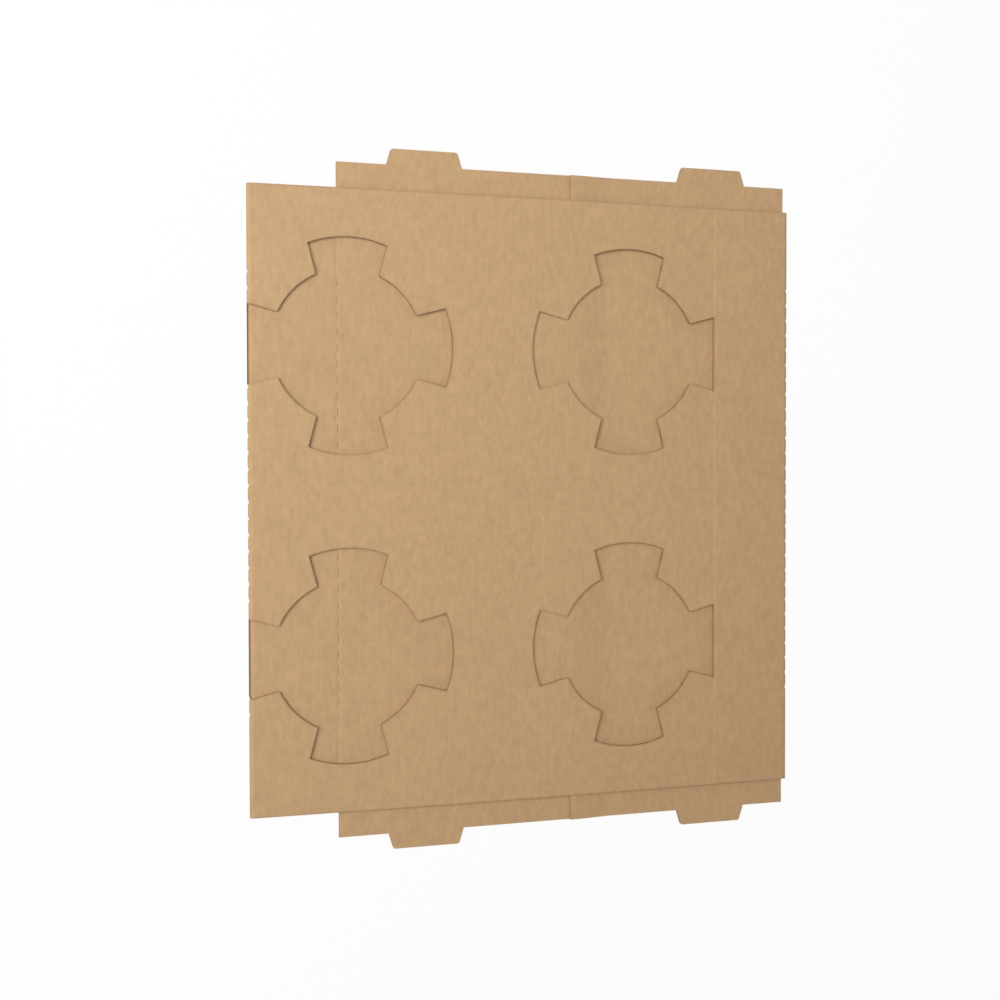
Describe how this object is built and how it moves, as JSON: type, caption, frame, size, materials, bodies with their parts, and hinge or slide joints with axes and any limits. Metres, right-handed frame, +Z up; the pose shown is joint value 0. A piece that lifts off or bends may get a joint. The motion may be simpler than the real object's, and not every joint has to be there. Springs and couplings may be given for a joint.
{
  "type": "cup carrier",
  "caption": "Flat-folded corrugated board sleeve for carrying drink cups, with winged cup openings in its top panel, scored walls, and lips with lock tabs.",
  "frame": {"origin": "under the middle of the flat carrier's bounding box, on the surface it lies on", "axes": "+X across the flutes towards the right wall, +Y along the flutes towards the far lip, +Z up through the folded layers"},
  "size_m": [0.2344, 0.281, 0.0046],
  "materials": {
    "kraft_board": "matte brown kraft liner"
  },
  "bodies": {
    "root": {"cup_carrier": "kraft_board"}
  },
  "joints": []
}
